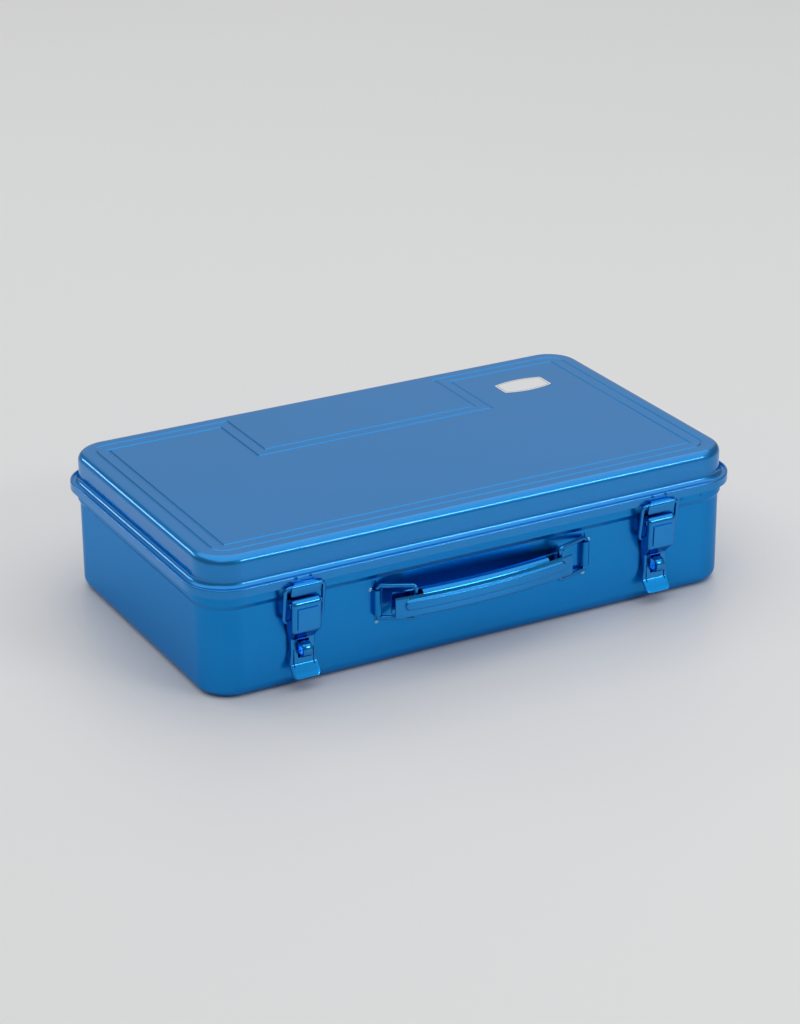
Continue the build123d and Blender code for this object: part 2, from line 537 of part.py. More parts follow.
# ---- handle ----------------------------------------------------------------------------------
def link_leg(side):
    """(x, distance from the wall) of a link's leg inside the grip; side is -1 for left, 1 for right."""
    turn = radians(LINK_ANGLES[side])
    return side * (BRIDGE_X - LINK_REACH * cos(turn)), LINK_STAND + LINK_REACH * sin(turn)


def grip_arc_radius():
    """Radius of the grip's bow along its middle line."""
    return ((GRIP_LENGTH / 2) ** 2 + GRIP_BOW ** 2) / (2 * GRIP_BOW)


def grip_bow_at(x):
    """How far the grip's middle line falls back at x from its middle."""
    radius = grip_arc_radius()
    return radius - sqrt(radius ** 2 - x ** 2)


def grip_place():
    """Where the grip rests, so that both links' legs lie on its middle line."""
    (left_x, left_stand), (right_x, right_stand) = link_leg(-1), link_leg(1)
    left_x, right_x = left_x - GRIP_SHIFT, right_x - GRIP_SHIFT
    left_line, right_line = left_stand + grip_bow_at(left_x), right_stand + grip_bow_at(right_x)
    skew = (left_line - right_line) / (right_x - left_x)
    stand = right_line + right_x * skew
    return Pos(GRIP_SHIFT, -WALL_Y - stand, GRIP_Z) * Rot(0, 0, degrees(skew))


def bowed(section, length):
    """Section in the grip's middle plane, swept along the grip's bow for a length."""
    radius = grip_arc_radius()
    half_turn = degrees(asin(length / 2 / radius))
    axis = Axis((0, radius, 0), (0, 0, 1))
    return revolve(section.rotate(axis, -half_turn), axis, 2 * half_turn)


def grip_section(inset, height=GRIP_HEIGHT):
    """Cross-section of the grip, moved inward by inset."""
    plane = Plane(origin=(0, 0, 0), x_dir=(0, 1, 0), z_dir=(1, 0, 0))
    return plane * RectangleRounded(GRIP_THICK - 2 * inset, height - 2 * inset, GRIP_CORNER - inset)


def grip_rib():
    """Raised rib along the grip's face, still full behind."""
    radius = ((RIB_WIDTH / 2) ** 2 + RIB_RISE ** 2) / (2 * RIB_RISE)
    depth = GRIP_THICK / 2 + RIB_RISE - radius
    plane = Plane(origin=(0, -depth, 0), x_dir=(0, 1, 0), z_dir=(1, 0, 0))
    rib = bowed(plane * Circle(radius), RIB_LENGTH - RIB_WIDTH)
    bow = grip_arc_radius()
    half_turn = asin((RIB_LENGTH - RIB_WIDTH) / 2 / bow)
    for side in (-1, 1):
        x, y = side * (bow + depth) * sin(half_turn), bow - (bow + depth) * cos(half_turn)
        rib += Pos(x, y, 0) * Sphere(radius)
    return rib


def handle_grip():
    """Pressed grip: bowed box section, open and notched at both ends for the two links."""
    room = bowed(grip_section(GRIP_SHEET), GRIP_LENGTH + GRIP_THICK)
    grip = bowed(grip_section(0), GRIP_LENGTH) + Pos(0, 0, RIB_LIFT) * grip_rib() - room
    slots = bowed(grip_section(GRIP_SHEET, 2 * GRIP_HEIGHT), GRIP_LENGTH + GRIP_THICK)
    grip -= slots - Box(GRIP_MIDDLE, 2 * GRIP_LENGTH, 4 * GRIP_HEIGHT)
    corner = Box(GRIP_CHAMFER * sqrt(2), GRIP_LENGTH, GRIP_CHAMFER * sqrt(2))
    for side in (-1, 1):
        for level in (-1, 1):
            grip -= Pos(side * GRIP_LENGTH / 2, 0, level * GRIP_HEIGHT / 2) * Rot(0, 45, 0) * corner
    return grip_place() * grip


def handle_link(side):
    """Closed wire link between a bridge and the grip; side is -1 for left, 1 for right."""
    leg_x, leg_stand = link_leg(side)
    near, far = (side * BRIDGE_X, -WALL_Y - LINK_STAND), (leg_x, -WALL_Y - leg_stand)
    top, bottom = HANDLE_Z + LINK_HALF_HEIGHT, HANDLE_Z - LINK_HALF_HEIGHT
    path = FilletPolyline((*far, HANDLE_Z + LINK_SEAM / 2), (*far, top), (*near, top), (*near, bottom),
                          (*far, bottom), (*far, HANDLE_Z - LINK_SEAM / 2), radius=LINK_BEND)
    start = Plane(origin=path @ 0, z_dir=path % 0)
    return sweep(start * Circle(LINK_WIRE_RADIUS), path=path)


def main():
    """Write every node."""
    os.makedirs("parts", exist_ok=True)
    nodes = {"body_shell": body_shell(), "lid_shell": lid_shell(), "lid_label": lid_label(),
             "handle_grip": handle_grip(), "handle_link_left": handle_link(-1), "handle_link_right": handle_link(1)}
    for name, side in (("left", -1), ("right", 1)):
        nodes[f"hinge_{name}_body_leaf"] = hinge_body_leaf(side * HINGE_X)
        nodes[f"hinge_{name}_lid_leaf"] = hinge_lid_leaf(side * HINGE_X)
        nodes[f"hinge_{name}_pin"] = hinge_pin(side * HINGE_X)
        nodes[f"latch_{name}_base"] = latch_base(side * LATCH_X)
        nodes[f"latch_{name}_staple"] = latch_staple(side * LATCH_X)
        nodes[f"latch_{name}_lever"] = latch_lever(side * LATCH_X)
        nodes[f"latch_{name}_pin"] = latch_pin(side * LATCH_X)
        nodes[f"latch_{name}_bail"] = latch_bail(side * LATCH_X)
        nodes[f"latch_{name}_hook"] = latch_hook(side * LATCH_X)
    for name, shape in nodes.items():
        export_step(shape, f"parts/{name}.step")


main()
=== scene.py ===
"""Looks of a flat drawn-steel tool box with a hinged lid, two draw latches and a wire handle.

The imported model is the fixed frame. Every piece made here rides on one of its bodies, in metres, in
the same frame: +X along the box, the front with the latches faces -Y, and +Z is up.
"""
import json
import logging
import math
from dataclasses import dataclass, field
from enum import Enum
from typing import Callable, NamedTuple, Sequence

import bmesh
import bpy
from mathutils import Matrix, Vector

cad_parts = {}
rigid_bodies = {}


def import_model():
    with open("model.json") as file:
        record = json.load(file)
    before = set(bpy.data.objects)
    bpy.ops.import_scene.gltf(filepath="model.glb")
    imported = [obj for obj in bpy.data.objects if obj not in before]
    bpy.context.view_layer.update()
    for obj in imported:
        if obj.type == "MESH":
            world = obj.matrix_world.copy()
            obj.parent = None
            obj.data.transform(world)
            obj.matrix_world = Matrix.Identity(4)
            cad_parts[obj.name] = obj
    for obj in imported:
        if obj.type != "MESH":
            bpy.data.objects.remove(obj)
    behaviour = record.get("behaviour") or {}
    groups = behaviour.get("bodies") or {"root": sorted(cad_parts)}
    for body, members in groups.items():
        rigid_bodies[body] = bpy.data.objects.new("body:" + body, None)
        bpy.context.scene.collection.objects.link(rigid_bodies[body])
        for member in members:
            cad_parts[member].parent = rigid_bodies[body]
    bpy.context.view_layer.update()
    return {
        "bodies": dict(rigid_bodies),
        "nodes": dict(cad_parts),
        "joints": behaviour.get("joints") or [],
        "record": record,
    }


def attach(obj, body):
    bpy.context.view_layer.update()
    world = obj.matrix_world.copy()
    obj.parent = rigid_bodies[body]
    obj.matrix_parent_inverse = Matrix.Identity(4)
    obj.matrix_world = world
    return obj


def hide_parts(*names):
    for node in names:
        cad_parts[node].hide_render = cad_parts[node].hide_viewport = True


LOG = logging.getLogger("tool_box")
MERGE_DISTANCE = 2e-6   # vertices nearer than this are joined
SHORTEST_EDGE = 1e-6    # edges shorter than this are dissolved
LEAST_FALL = 1e-9       # least drop between two rows of a table
NOISE_MIDDLE = 0.5      # middle of a noise value
Flat = tuple[float, float]
Point = tuple[float, float, float]
Colour = tuple[float, float, float]
Rgba = tuple[float, float, float, float]


class Side(Enum):
    """End of the box that a latch sits at; the value is the word in its nodes' names."""

    LEFT = "left"
    RIGHT = "right"

    def along(self, distance: float) -> float:
        """Place along the box of what sits this far from its middle."""
        return distance if self is Side.RIGHT else -distance


# ---- shader maths -----------------------------------------------------------------------------
class Socket:
    """One output socket of a node tree; arithmetic on it adds Math nodes."""

    def __init__(self, shader: "Shader", socket: bpy.types.NodeSocket) -> None:
        """Keep the shader that owns the socket.

        Args:
            shader: the node tree's wrapper.
            socket: the output socket.
        """
        self.shader, self.socket = shader, socket

    def _math(self, operation: str, left: object, right: object) -> "Socket":
        """Add one Math node and return its value."""
        return self.shader.node("ShaderNodeMath", {"operation": operation}, [left, right])

    def __add__(self, other: object) -> "Socket":
        """Sum."""
        return self._math("ADD", self, other)

    def __radd__(self, other: object) -> "Socket":
        """Sum, the other way round."""
        return self._math("ADD", other, self)

    def __sub__(self, other: object) -> "Socket":
        """Difference."""
        return self._math("SUBTRACT", self, other)

    def __rsub__(self, other: object) -> "Socket":
        """Difference, the other way round."""
        return self._math("SUBTRACT", other, self)

    def __mul__(self, other: object) -> "Socket":
        """Product."""
        return self._math("MULTIPLY", self, other)

    def __rmul__(self, other: object) -> "Socket":
        """Product, the other way round."""
        return self._math("MULTIPLY", other, self)

    def __truediv__(self, other: object) -> "Socket":
        """Quotient."""
        return self._math("DIVIDE", self, other)

    def __rtruediv__(self, other: object) -> "Socket":
        """Quotient, the other way round."""
        return self._math("DIVIDE", other, self)

    def least(self, other: object) -> "Socket":
        """The smaller of this and the other."""
        return self._math("MINIMUM", self, other)

    def greater(self, other: object) -> "Socket":
        """1 where this is greater."""
        return self._math("GREATER_THAN", self, other)

    def size(self) -> "Socket":
        """Absolute value."""
        return self._math("ABSOLUTE", self, 0.0)


class Shader:
    """A material's node tree."""

    def __init__(self, name: str) -> None:
        """Start a material with one Principled surface.

        Args:
            name: the material's name.
        """
        self.material = bpy.data.materials.new(name)
        self.material.use_nodes = True
        self.tree = self.material.node_tree
        self.surface = next(n for n in self.tree.nodes if n.type == "BSDF_PRINCIPLED")

    def node(self, kind: str, settings: dict | None = None, inputs: Sequence | dict = (),
             output: int | str = 0) -> Socket:
        """Add a node.

        Args:
            kind: the node's type name.
            settings: the node's attributes, which are set first.
            inputs: values or Sockets, in the order of the inputs or by their names.
            output: which output to return.

        Returns:
            The chosen output.
        """
        made = self.tree.nodes.new(kind)
        for key, value in (settings or {}).items():
            setattr(made, key, value)
        pairs = inputs.items() if isinstance(inputs, dict) else enumerate(inputs)
        for key, value in pairs:
            self.feed(made.inputs[key], value)
        return Socket(self, made.outputs[output])

    def feed(self, target: bpy.types.NodeSocket, value: object) -> None:
        """Link a Socket to an input, or set its value.

        Args:
            target: the input.
            value: a Socket, or a value that suits the input.
        """
        if isinstance(value, Socket):
            self.tree.links.new(value.socket, target)
        else:
            target.default_value = value

    def place(self, scale: Point = (1.0, 1.0, 1.0)) -> Socket:
        """Object coordinates, scaled."""
        where = self.node("ShaderNodeTexCoord", output="Object")
        return self.node("ShaderNodeMapping", {}, {"Vector": where, "Scale": scale})

    def axes(self) -> tuple[Socket, Socket, Socket]:
        """Split the object coordinates.

        Returns:
            X, Y and Z.
        """
        where = self.node("ShaderNodeTexCoord", output="Object")
        split = self.node("ShaderNodeSeparateXYZ", {}, [where])
        outputs = split.socket.node.outputs
        return tuple(Socket(self, outputs[i]) for i in range(3))

    def noise(self, size: float, detail: float = 2.0, stretch: Point = (1.0, 1.0, 1.0)) -> Socket:
        """Noise value, 0 to 1.

        Args:
            size: size of its spots in metres.
            detail: octaves.
            stretch: how much longer the spots are along each axis.

        Returns:
            The noise value.
        """
        scale = tuple(1.0 / (size * s) for s in stretch)
        inputs = {"Vector": self.place(scale), "Scale": 1.0, "Detail": detail}
        return self.node("ShaderNodeTexNoise", {}, inputs)

    def mix(self, factor: object, first: object, second: object) -> Socket:
        """Colour between two colours."""
        return self.node("ShaderNodeMix", {"data_type": "RGBA"}, {0: factor, 6: first, 7: second}, 2)

    def bump(self, height: Socket, distance: float, strength: float = 1.0,
             below: Socket | None = None) -> Socket:
        """Turn a height into a normal.

        Args:
            height: height in 0 to 1.
            distance: what a height of 1 stands for, in metres.
            strength: share of the bump that is used.
            below: normal of a coarser bump that this one lies on.

        Returns:
            The normal.
        """
        inputs = {"Height": height, "Distance": distance, "Strength": strength}
        if below is not None:
            inputs["Normal"] = below
        return self.node("ShaderNodeBump", {}, inputs)

    def finish(self, **values: object) -> bpy.types.Material:
        """Feed the surface's inputs and return the material.

        Args:
            values: inputs of the surface, with _ for a space in their names.

        Returns:
            The material.
        """
        for name, value in values.items():
            self.feed(self.surface.inputs[name.replace("_", " ")], value)
        return self.material


def rgba(colour: Colour, factor: float = 1.0) -> Rgba:
    """Colour with alpha, made lighter or darker by a factor."""
    return tuple(min(1.0, c * factor) for c in colour) + (1.0,)


@dataclass(frozen=True)
class Enamel:
    """Metallic stove enamel on steel."""

    name: str
    colour: Colour = (0.0, 0.235, 0.64)
    dark: float = 0.86
    light: float = 1.14
    roughness: float = 0.33
    metallic: float = 1.0
    coat: float = 0.3
    coat_ior: float = 1.5
    edge_tint: Colour = (0.45, 0.7, 0.9)
    coat_roughness: float = 0.06
    cloud_size: float = 0.11
    cloud_tone: float = 0.10
    cloud_roughness: float = 0.08
    flake_size: float = 0.0006
    flake_tone: float = 0.20
    streak_width: float = 0.0022
    streak_length: float = 0.09
    streak_roughness: float = 0.10
    grain_size: float = 0.0011
    grain_height: float = 0.000012
    wave_size: float = 0.035
    wave_height: float = 0.00012
    wave_strength: float = 0.5

    def make(self) -> bpy.types.Material:
        """Build the material: flakes, faint rolling streaks, cloudy patches and a fine orange peel.

        Returns:
            The material.
        """
        s = Shader(self.name)
        cloud = s.noise(self.cloud_size) - NOISE_MIDDLE
        flake = s.noise(self.flake_size, detail=1.0) - NOISE_MIDDLE
        stretch = (self.streak_length / self.streak_width, 1.0, 1.0)
        streak = s.noise(self.streak_width, stretch=stretch) - NOISE_MIDDLE
        tone = cloud * self.cloud_tone + flake * self.flake_tone + 0.5
        colour = s.mix(tone, rgba(self.colour, self.dark), rgba(self.colour, self.light))
        roughness = streak * self.streak_roughness + cloud * self.cloud_roughness + self.roughness
        wave = s.bump(s.noise(self.wave_size, detail=1.0), self.wave_height, self.wave_strength)
        normal = s.bump(s.noise(self.grain_size), self.grain_height, below=wave)
        return s.finish(
            Base_Color=colour, Metallic=self.metallic, Roughness=roughness, Normal=normal,
            Specular_Tint=rgba(self.edge_tint), Coat_Weight=self.coat, Coat_IOR=self.coat_ior,
            Coat_Roughness=self.coat_roughness)


@dataclass(frozen=True)
class Foil:
    """Silver sticker, blank inside a thin plain border."""

    name: str
    x: float
    y: float
    half_x: float
    half_y: float
    bulge: float
    colour: Colour = (0.80, 0.81, 0.82)
    dark: float = 0.94
    light: float = 1.04
    ink: Colour = (0.20, 0.23, 0.27)
    inset: float = 0.0013
    line: float = 0.00022
    metallic: float = 0.15
    roughness: float = 0.28
    brush_width: float = 0.0004
    brush_stretch: float = 30.0
    brush_roughness: float = 0.1

    def make(self) -> bpy.types.Material:
        """Build the material: faint brushing and one printed line that follows the edge.

        Returns:
            The material.
        """
        s = Shader(self.name)
        brush = s.noise(self.brush_width, stretch=(self.brush_stretch, 1.0, 1.0))
        across, along, _ = s.axes()
        x, y = (across - self.x).size(), (along - self.y).size()
        side = 1.0 - (x / self.half_x) * (x / self.half_x)
        from_side = side * self.bulge + self.half_y - y
        from_end = self.half_x - x
        inked = 1.0 - (from_side.least(from_end) - self.inset).size().greater(self.line)
        silver = s.mix(brush, rgba(self.colour, self.dark), rgba(self.colour, self.light))
        colour = s.mix(inked, silver, rgba(self.ink))
        roughness = brush * self.brush_roughness + self.roughness
        return s.finish(Base_Color=colour, Metallic=self.metallic, Roughness=roughness)


@dataclass(frozen=True)
class Backdrop:
    """Pale studio floor, slightly glossy."""

    name: str = "studio_floor"
    colour: Colour = (0.80, 0.803, 0.808)
    dark: float = 0.985
    light: float = 1.015
    cloud_size: float = 0.6
    roughness: float = 0.42

    def make(self) -> bpy.types.Material:
        """Build the material: an even pale grey with a very faint cloud.

        Returns:
            The material.
        """
        s = Shader(self.name)
        cloud = s.noise(self.cloud_size, detail=1.0)
        colour = s.mix(cloud, rgba(self.colour, self.dark), rgba(self.colour, self.light))
        return s.finish(Base_Color=colour, Roughness=self.roughness)


# ---- camera, floor and lights -----------------------------------------------------------------
@dataclass(frozen=True)
class Lamp:
    """One soft box."""

    name: str
    place: Point
    target: Point
    width: float
    height: float
    watts: float
    colour: Colour = (1.0, 1.0, 1.0)

    def hang(self) -> None:
        """Put the lamp in the scene."""
        light = bpy.data.lights.new(self.name, "AREA")
        light.shape, light.size, light.size_y = "RECTANGLE", self.width, self.height
        light.energy, light.color = self.watts, self.colour
        lamp = bpy.data.objects.new(self.name, light)
        bpy.context.scene.collection.objects.link(lamp)
        lamp.location = self.place
        aim = Vector(self.target) - Vector(self.place)
        lamp.rotation_euler = aim.to_track_quat("-Z", "Y").to_euler()


@dataclass
class Studio:
    """Camera, floor, soft lamps and pale surroundings."""

    eye: Point = (-0.77324, -1.43190, 0.74768)
    right: Point = (0.87855, -0.47761, -0.00623)
    up: Point = (0.19439, 0.34561, 0.91803)
    lens: float = 101.17
    sensor_width: float = 36.0
    clip_end: float = 50.0
    floor_half: float = 6.0
    surround: float = 0.28
    lamps: Sequence[Lamp] = field(default_factory=lambda: (
        Lamp("key_box", (0.95, -1.76, 1.10), (0.0, 0.0, 0.05), 0.80, 0.16, 7.0),
        Lamp("back_left_box", (-1.25, 1.75, 0.80), (0.0, 0.0, 0.05), 0.8, 0.18, 3.2),
        Lamp("ceiling_box", (0.1, 0.2, 2.4), (0.1, 0.2, 0.0), 4.8, 4.8, 63.0),
        Lamp("back_panel", (1.3, 2.4, 1.3), (0.0, 0.0, 0.05), 3.2, 2.0, 6.5),
    ))

    def build(self) -> None:
        """Make the whole studio."""
        self._camera()
        self._floor()
        self._surroundings()
        for lamp in self.lamps:
            lamp.hang()
        bpy.context.scene.view_settings.view_transform = "Standard"

    def _camera(self) -> None:
        """Put the camera at its place."""
        data = bpy.data.cameras.new("camera")
        data.lens, data.sensor_width, data.clip_end = self.lens, self.sensor_width, self.clip_end
        camera = bpy.data.objects.new("camera", data)
        bpy.context.scene.collection.objects.link(camera)
        right = Vector(self.right).normalized()
        back = right.cross(Vector(self.up)).normalized()
        up = back.cross(right)
        turn = Matrix((right, up, back)).transposed().to_4x4()
        camera.matrix_world = Matrix.Translation(self.eye) @ turn
        bpy.context.scene.camera = camera

    def _floor(self) -> None:
        """Lay the floor."""
        bm = bmesh.new()
        bmesh.ops.create_grid(bm, x_segments=1, y_segments=1, size=self.floor_half)
        floor = new_object("studio_floor", bm)
        floor.data.materials.append(Backdrop().make())

    def _surroundings(self) -> None:
        """Even pale light from all round."""
        world = bpy.data.worlds.new("surroundings")
        world.use_nodes = True
        background = next(n for n in world.node_tree.nodes if n.type == "BACKGROUND")
        background.inputs["Color"].default_value = (1.0, 1.0, 1.0, 1.0)
        background.inputs["Strength"].default_value = self.surround
        bpy.context.scene.world = world


# ---- mesh helpers -----------------------------------------------------------------------------
def new_object(name: str, bm: bmesh.types.BMesh, smooth_angle: float | None = None) -> bpy.types.Object:
    """Turn a bmesh into an object at the origin.

    Args:
        name: the object's name.
        bm: the mesh, in metres in the row frame; it is freed.
        smooth_angle: faces that meet at a smaller angle, in degrees, are shaded smooth.

    Returns:
        The new object.
    """
    if smooth_angle is not None:
        limit = math.radians(smooth_angle)
        for face in bm.faces:
            face.smooth = True
        for edge in bm.edges:
            edge.smooth = len(edge.link_faces) == 2 and edge.calc_face_angle(0.0) < limit
    mesh = bpy.data.meshes.new(name)
    bm.to_mesh(mesh)
    bm.free()
    made = bpy.data.objects.new(name, mesh)
    bpy.context.scene.collection.objects.link(made)
    return made


def rounded_path(points: Sequence[Flat], radii: Sequence[float], steps: int = 6) -> list[Flat]:
    """Round the corners of an open path.

    Args:
        points: the path's (stand, height) corners.
        radii: radius at each inner corner.
        steps: segments in each arc.

    Returns:
        The path's points.
    """
    path = [Vector(points[0])]
    for before, here, after, radius in zip(points, points[1:], points[2:], radii):
        here = Vector(here)
        back, on = (Vector(before) - here).normalized(), (Vector(after) - here).normalized()
        half_angle = back.angle(on) / 2
        reach = radius / math.tan(half_angle)
        middle = here + (back + on).normalized() * (radius / math.sin(half_angle))
        first, last = here + back * reach - middle, here + on * reach - middle
        turn = first.angle_signed(last)
        path += [middle + Matrix.Rotation(-turn * i / steps, 2) @ first for i in range(steps + 1)]
    path.append(Vector(points[-1]))
    return [tuple(point) for point in path]


def with_heights(path: Sequence[Flat], heights: Sequence[float]) -> list[Flat]:
    """Add points to a falling path where it crosses the given heights.

    Args:
        path: (stand, height) points, from the top down.
        heights: where points are wanted; those outside the path, or on a point of it, add none.

    Returns:
        The path with the added points.
    """
    made = [path[0]]
    for (s0, z0), (s1, z1) in zip(path, path[1:]):
        crossed = (z for z in heights if z1 + SHORTEST_EDGE < z < z0 - SHORTEST_EDGE)
        for z in sorted(crossed, reverse=True):
            made.append((s0 + (s1 - s0) * (z0 - z) / (z0 - z1), z))
        made.append((s1, z1))
    return made


def facing(path: Sequence[Flat]) -> list[Flat]:
    """Find the way a falling path's front side looks at each of its points.

    Args:
        path: (stand, height) points, from the top down.

    Returns:
        A unit normal for each point.
    """
    normals = []
    for i in range(len(path)):
        low, high = path[max(0, i - 1)], path[min(len(path) - 1, i + 1)]
        along = Vector((high[0] - low[0], high[1] - low[1])).normalized()
        normals.append((-along.y, along.x))
    return normals


def between(value: float, table: Sequence[Flat]) -> float:
    """Read a falling table, with straight lines between its rows.

    Args:
        value: the height to read at.
        table: (height, value) rows, from the top down.

    Returns:
        The value at that height; beyond the table, its first or last value.
    """
    if value >= table[0][0]:
        return table[0][1]
    for (z0, v0), (z1, v1) in zip(table, table[1:]):
        if value >= z1:
            return v0 + (v1 - v0) * (z0 - value) / max(z0 - z1, LEAST_FALL)
    return table[-1][1]


def corner_inset(radius: float, left: float) -> float:
    """How far a rounded corner draws a side in, where this much is left to the end."""
    return radius - math.sqrt(max(0.0, radius ** 2 - (radius - left) ** 2)) if left < radius else 0.0


def close_skins(bm: bmesh.types.BMesh, outer: list, inner: list) -> None:
    """Join two skins along every open edge of the outer one.

    Args:
        bm: the mesh that holds both.
        outer: rows of the outer skin's vertices.
        inner: rows of the inner skin's vertices, matching the outer ones.
    """
    twin = {o: i for row_o, row_i in zip(outer, inner) for o, i in zip(row_o, row_i)}
    for edge in [e for e in bm.edges if len(e.link_faces) == 1 and e.verts[0] in twin]:
        loop = edge.link_loops[0]
        first, second = loop.vert, loop.link_loop_next.vert
        bm.faces.new((second, first, twin[first], twin[second]))


def fill_sheet(bm: bmesh.types.BMesh, outer: list, inner: list, looped: bool = False,
               is_cut: Callable[[int, int], bool] = lambda row, column: False) -> None:
    """Fill a sheet's two skins with faces and close its edges.

    Args:
        bm: the mesh that holds the vertices.
        outer: rows of the outer skin's vertices.
        inner: rows of the inner skin's vertices, matching the outer ones.
        looped: the last column joins the first one.
        is_cut: tells whether the sheet is cut away at a row and column.
    """
    count = len(outer[0])
    for i in range(len(outer) - 1):
        for j in range(count if looped else count - 1):
            if is_cut(i, j):
                continue
            k = (j + 1) % count
            bm.faces.new((outer[i][j], outer[i][k], outer[i + 1][k], outer[i + 1][j]))
            bm.faces.new((inner[i][k], inner[i][j], inner[i + 1][j], inner[i + 1][k]))
    close_skins(bm, outer, inner)


def soften(target: bpy.types.Object, width: float, angle: float = 34.0, segments: int = 2,
           weld: bool = False) -> None:
    """Round the sharp edges of a piece with a small bevel.

    Args:
        target: the piece.
        width: width of the bevel in metres.
        angle: smallest angle of the edges to round, in degrees.
        segments: steps in the rounding.
        weld: join the vertices that lie at one place first.
    """
    if weld:
        target.modifiers.new("joined_vertices", "WELD").merge_threshold = MERGE_DISTANCE
    bevel = target.modifiers.new("soft_edges", "BEVEL")
    bevel.width, bevel.segments, bevel.limit_method = width, segments, "ANGLE"
    bevel.angle_limit, bevel.harden_normals = math.radians(angle), True
    bevel.miter_outer = "MITER_ARC"


@dataclass(frozen=True)
class LeverSizes:
    """Sizes of the pressed latch lever, in metres."""

    wall: float = 0.1007
    x: float = 0.1196
    sheet: float = 0.001
    half: float = 0.0094
    neck_half: float = 0.0078
    tab_half: float = 0.0089
    stand: float = 0.011
    pad_lean: float = 0.0009
    neck_stand: float = 0.004
    tab_stand: float = 0.0096
    flange_stand: float = 0.002
    pin_height: float = 0.0546
    pin_stand: float = 0.0068
    crown: float = 0.0042
    crown_turn: float = 100.0
    pad_foot: float = 0.0162
    neck_top: float = 0.0228
    neck_foot: float = 0.0386
    tab_drop: float = 0.0458
    tab_corner: float = 0.003
    corner: float = 0.0019
    foot_radius: float = 0.0026
    neck_radius: float = 0.0016
    tab_radius: float = 0.0022
    neck_corner: float = 0.0011
    tab_edge: float = 0.0004
    least_corner: float = 0.0001
    flare: float = 0.005
    corner_fade: float = 0.003
    flange_fade: float = 0.004
    flange_foot: float = 0.034
    panel_half: float = 0.0066
    panel_inner: float = 0.003
    panel_top: float = 0.0012
    panel_foot: float = 0.0146
    panel_slope: float = 0.00025
    panel_rise: float = 0.0009
    slot_half: float = 0.00365
    slot_top: float = 0.0236
    slot_foot: float = 0.0351
    crease: float = 0.0063
    crease_half: float = 0.0004
    crease_top: float = 0.0293
    crease_foot: float = 0.0403
    column_gap: float = 0.0002


class Row(NamedTuple):
    """Station of the lever: a point of its front, the way it looks there, and its turn.

    The turn is 1 at the back of the crown and 0 from the pin down.
    """

    stand: float
    height: float
    face: Flat
    turn: float


